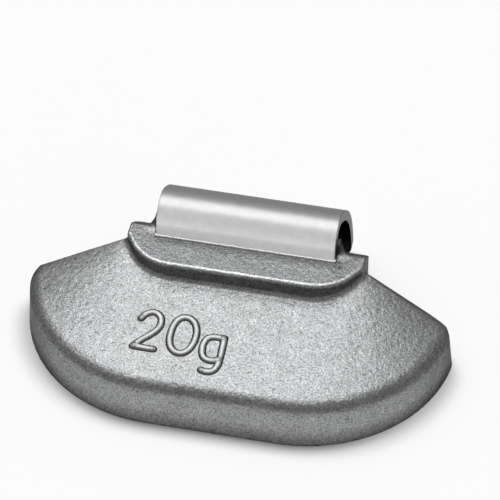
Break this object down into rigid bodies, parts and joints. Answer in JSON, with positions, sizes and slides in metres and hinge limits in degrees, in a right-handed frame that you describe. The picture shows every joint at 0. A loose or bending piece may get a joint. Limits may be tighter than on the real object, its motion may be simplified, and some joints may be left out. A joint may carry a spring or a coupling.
{
  "type": "clip-on wheel balance weight",
  "caption": "Clip-on wheel balance weight: a D-shaped sloping metal casting with a raised ledge and a cast-in spring-steel hook that grips a wheel's rim flange.",
  "frame": {"origin": "Middle of the bottom of the whole part's bounding box. The flat back of the casting lies in the plane z = 0.", "axes": "+X runs along the length, +Y from the thick round front edge towards the hook, +Z away from the flat back."},
  "size_m": [0.0362, 0.023, 0.0107],
  "materials": {
    "cast_metal": "bare as-cast zinc alloy, light grey with a fine bright grain",
    "clip_steel": "smooth satin plated spring steel"
  },
  "bodies": {
    "root": {"cast_body": "cast_metal", "spring_clip": "clip_steel"}
  },
  "joints": []
}
